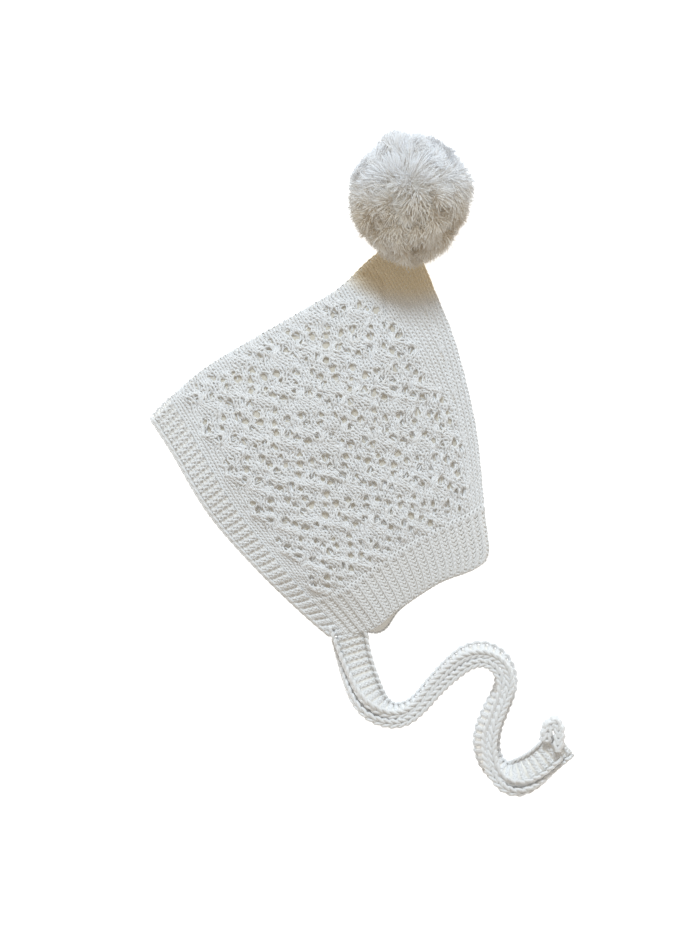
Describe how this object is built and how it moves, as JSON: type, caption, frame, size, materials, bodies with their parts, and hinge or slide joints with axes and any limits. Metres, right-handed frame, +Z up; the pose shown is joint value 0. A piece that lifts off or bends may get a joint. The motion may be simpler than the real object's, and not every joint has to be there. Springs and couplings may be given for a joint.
{
  "type": "knitted baby bonnet",
  "caption": "Pointed knitted baby bonnet lying folded flat on its side: lace crown, garter face edging, ribbed neck, cut-strand pompom and two knitted ties.",
  "frame": {"origin": "on the surface that the bonnet lies on, under the middle of the bounding box of the bonnet without its two ties", "axes": "+Z up from the surface, +Y from the neck to the pompom along the longest side of the bonnet, +X from the face edge to the back seam"},
  "size_m": [0.2347, 0.3645, 0.0546],
  "materials": {
    "crown_knit": "matt white cotton, knitted in stocking stitch and lace",
    "garter_knit": "matt white cotton, garter stitch with a chain edge",
    "rib_knit": "matt white cotton, knit one purl one rib",
    "pompom_strands": "silky cut cotton strands in clumped tufts"
  },
  "bodies": {
    "root": {"crown": "crown_knit", "face_edging": "garter_knit", "neck_rib": "rib_knit", "pompom": "pompom_strands", "upper_tie": "garter_knit", "lower_tie": "garter_knit"}
  },
  "joints": []
}
